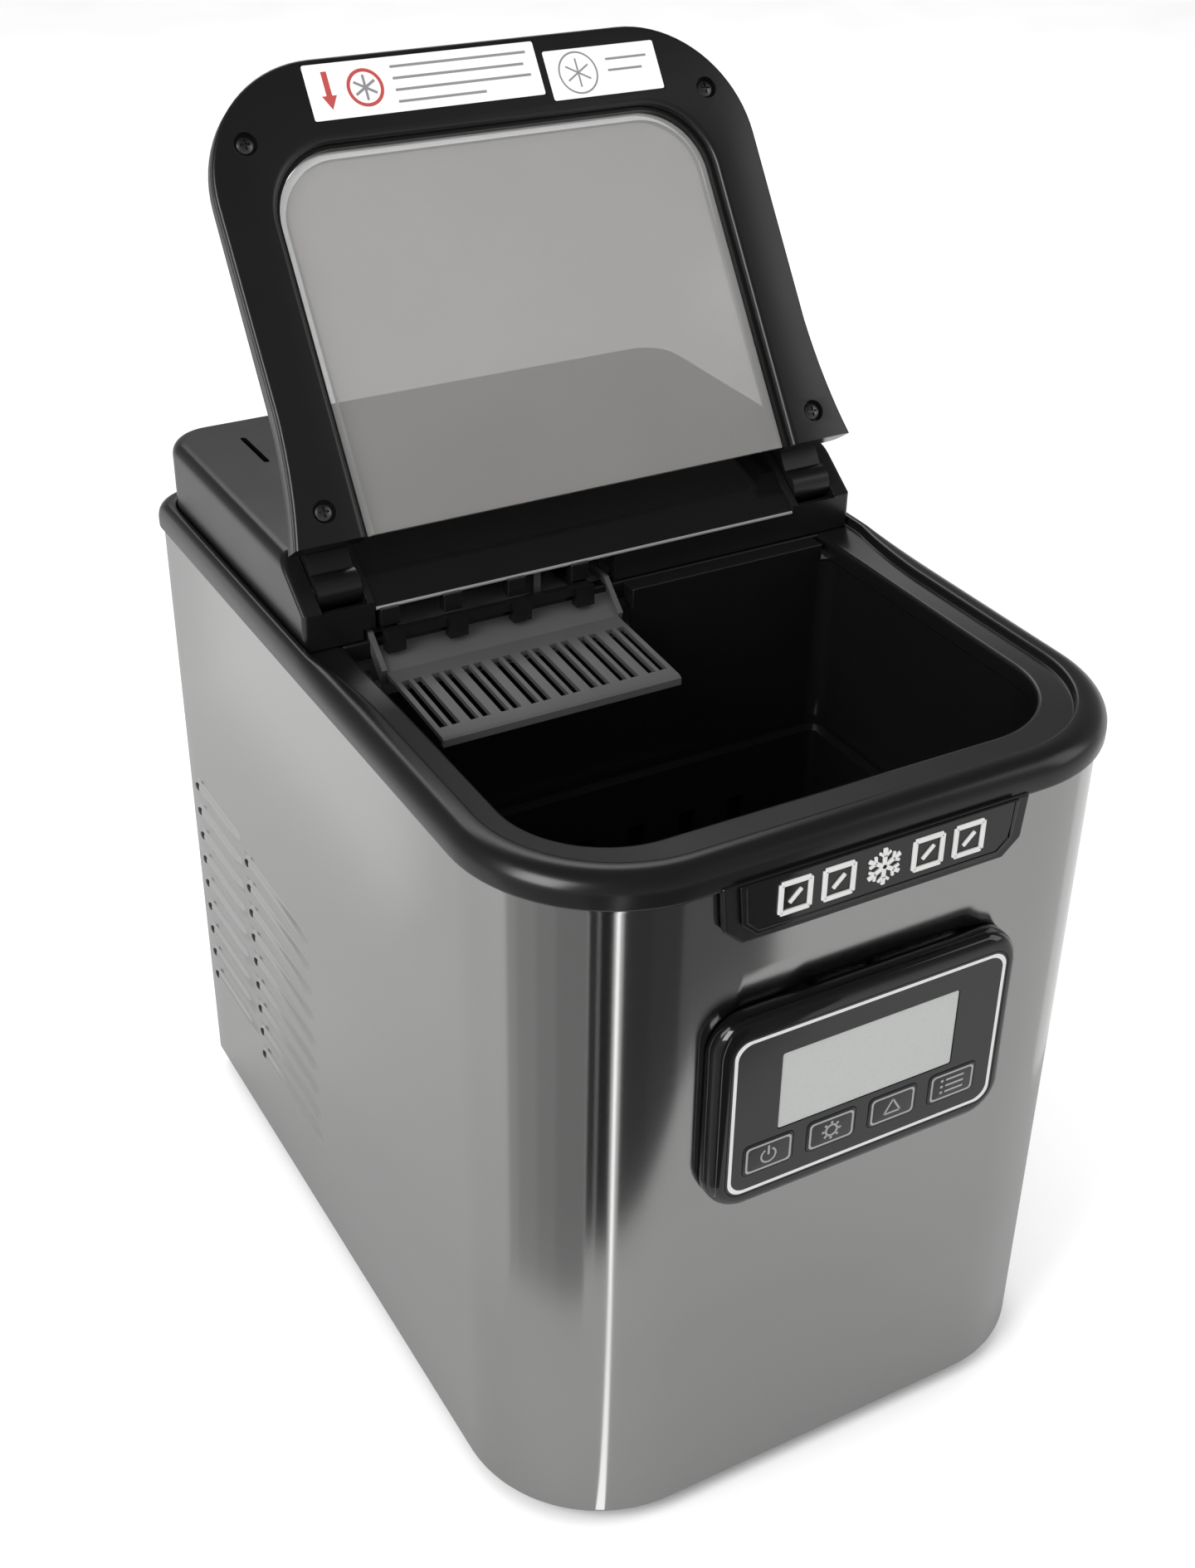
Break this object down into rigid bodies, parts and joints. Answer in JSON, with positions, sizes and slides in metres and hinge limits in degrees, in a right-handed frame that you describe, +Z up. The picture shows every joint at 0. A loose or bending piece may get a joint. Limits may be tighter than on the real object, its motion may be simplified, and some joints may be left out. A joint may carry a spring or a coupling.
{
  "type": "countertop ice maker",
  "caption": "Countertop bullet-ice maker with a steel wrap, hinged windowed lid, ice bin and basket, tipping tray and rake, push buttons, fan and drain.",
  "frame": {"origin": "on the surface it stands on, below the middle of the body", "axes": "+X to the machine's right seen from the front, +Y to its back, +Z up; the controls face -Y"},
  "size_m": [0.25, 0.3566, 0.476],
  "materials": {
    "stainless": "satin sheet with a fine vertical brushing",
    "satin_black": "satin moulded plastic",
    "gloss_black": "glossy moulded plastic",
    "rear_paint": "fine texture paint",
    "overlay": "printed polyester film",
    "display": "unlit liquid crystal behind clear film",
    "board": "solder mask",
    "liner": "moulded, fine grain",
    "basket": "moulded, fine grain",
    "gray_plastic": "moulded, satin",
    "pale_plastic": "moulded, satin",
    "nickel": "nickel plated",
    "black_paint": "satin enamel",
    "aluminium": "mill finish fins",
    "copper": "drawn copper tube",
    "rubber": "matte",
    "chrome": "bright zinc plate",
    "smoke_window": "smoke tinted clear plastic",
    "label_paper": "printed film sticker"
  },
  "bodies": {
    "case": {"steel_wrap": "stainless", "base_pan": "satin_black", "rear_panel": "rear_paint", "top_rim": "satin_black", "name_plate": "gloss_black", "control_bezel": "gloss_black", "control_overlay": "overlay", "display": "display", "control_board": "board", "bin_liner": "liner", "ice_slide": "gray_plastic", "sensor_bracket": "gray_plastic", "chamber": "pale_plastic", "evaporator": "nickel", "tray_motor": "satin_black", "compressor": "black_paint", "condenser": "aluminium", "fan_shroud": "satin_black", "fan_motor": "satin_black", "refrigerant_pipe": "copper", "water_pump": "pale_plastic", "pump_hose": "rubber", "drain_hose": "rubber", "cord_gland": "satin_black", "rear_cover": "satin_black", "hinge_pin_left": "chrome", "hinge_pin_right": "chrome", "foot_front_left": "rubber", "foot_front_right": "rubber", "foot_rear_left": "rubber", "foot_rear_right": "rubber", "panel_screw_1": "chrome", "panel_screw_2": "chrome", "panel_screw_3": "chrome", "panel_screw_4": "chrome"},
    "lid": {"lid_inner_frame": "satin_black", "lid_shell": "satin_black", "lid_window": "smoke_window", "lid_label_left": "label_paper", "lid_label_right": "label_paper", "lid_screw_1": "chrome", "lid_screw_2": "chrome", "lid_screw_3": "chrome", "lid_screw_4": "chrome"},
    "power_button": {"button_power": "overlay"},
    "set_button": {"button_set": "overlay"},
    "up_button": {"button_up": "overlay"},
    "select_button": {"button_select": "overlay"},
    "basket": {"ice_basket": "basket"},
    "rake": {"ice_rake": "satin_black"},
    "tray": {"water_tray": "pale_plastic"},
    "fan": {"fan_blades": "pale_plastic"},
    "drain": {"drain_plug": "rubber"}
  },
  "joints": [
    {"name": "lid_hinge", "type": "hinge", "parent": "case", "child": "lid", "pos_m": [0, 0.0273, 0.3123], "axis": [1, 0, 0], "range_deg": [0, 124.7]},
    {"name": "power_press", "type": "slide", "parent": "case", "child": "power_button", "axis": [0, 1, 0], "range_m": [0, 0.0008], "stiffness_N_per_m": 600},
    {"name": "set_press", "type": "slide", "parent": "case", "child": "set_button", "axis": [0, 1, 0], "range_m": [0, 0.0008], "stiffness_N_per_m": 600},
    {"name": "up_press", "type": "slide", "parent": "case", "child": "up_button", "axis": [0, 1, 0], "range_m": [0, 0.0008], "stiffness_N_per_m": 600},
    {"name": "select_press", "type": "slide", "parent": "case", "child": "select_button", "axis": [0, 1, 0], "range_m": [0, 0.0008], "stiffness_N_per_m": 600},
    {"name": "basket_lift", "type": "slide", "parent": "case", "child": "basket", "axis": [0, 0, 1], "range_m": [0, 0.06]},
    {"name": "tray_tip", "type": "hinge", "parent": "case", "child": "tray", "pos_m": [0, 0.062, 0.275], "axis": [1, 0, 0], "range_deg": [0, 70]},
    {"name": "rake_push", "type": "slide", "parent": "case", "child": "rake", "axis": [0, -1, 0], "range_m": [0, 0.018]},
    {"name": "fan_spin", "type": "hinge", "parent": "case", "child": "fan", "pos_m": [-0.085, 0.091, 0.111], "axis": [1, 0, 0], "continuous": true},
    {"name": "drain_pull", "type": "slide", "parent": "case", "child": "drain", "axis": [0, 1, 0], "range_m": [0, 0.02]}
  ],
  "couplings": [
    {"joint": "rake_push", "follows": "tray_tip", "m_per_rad": 0.0147}
  ]
}
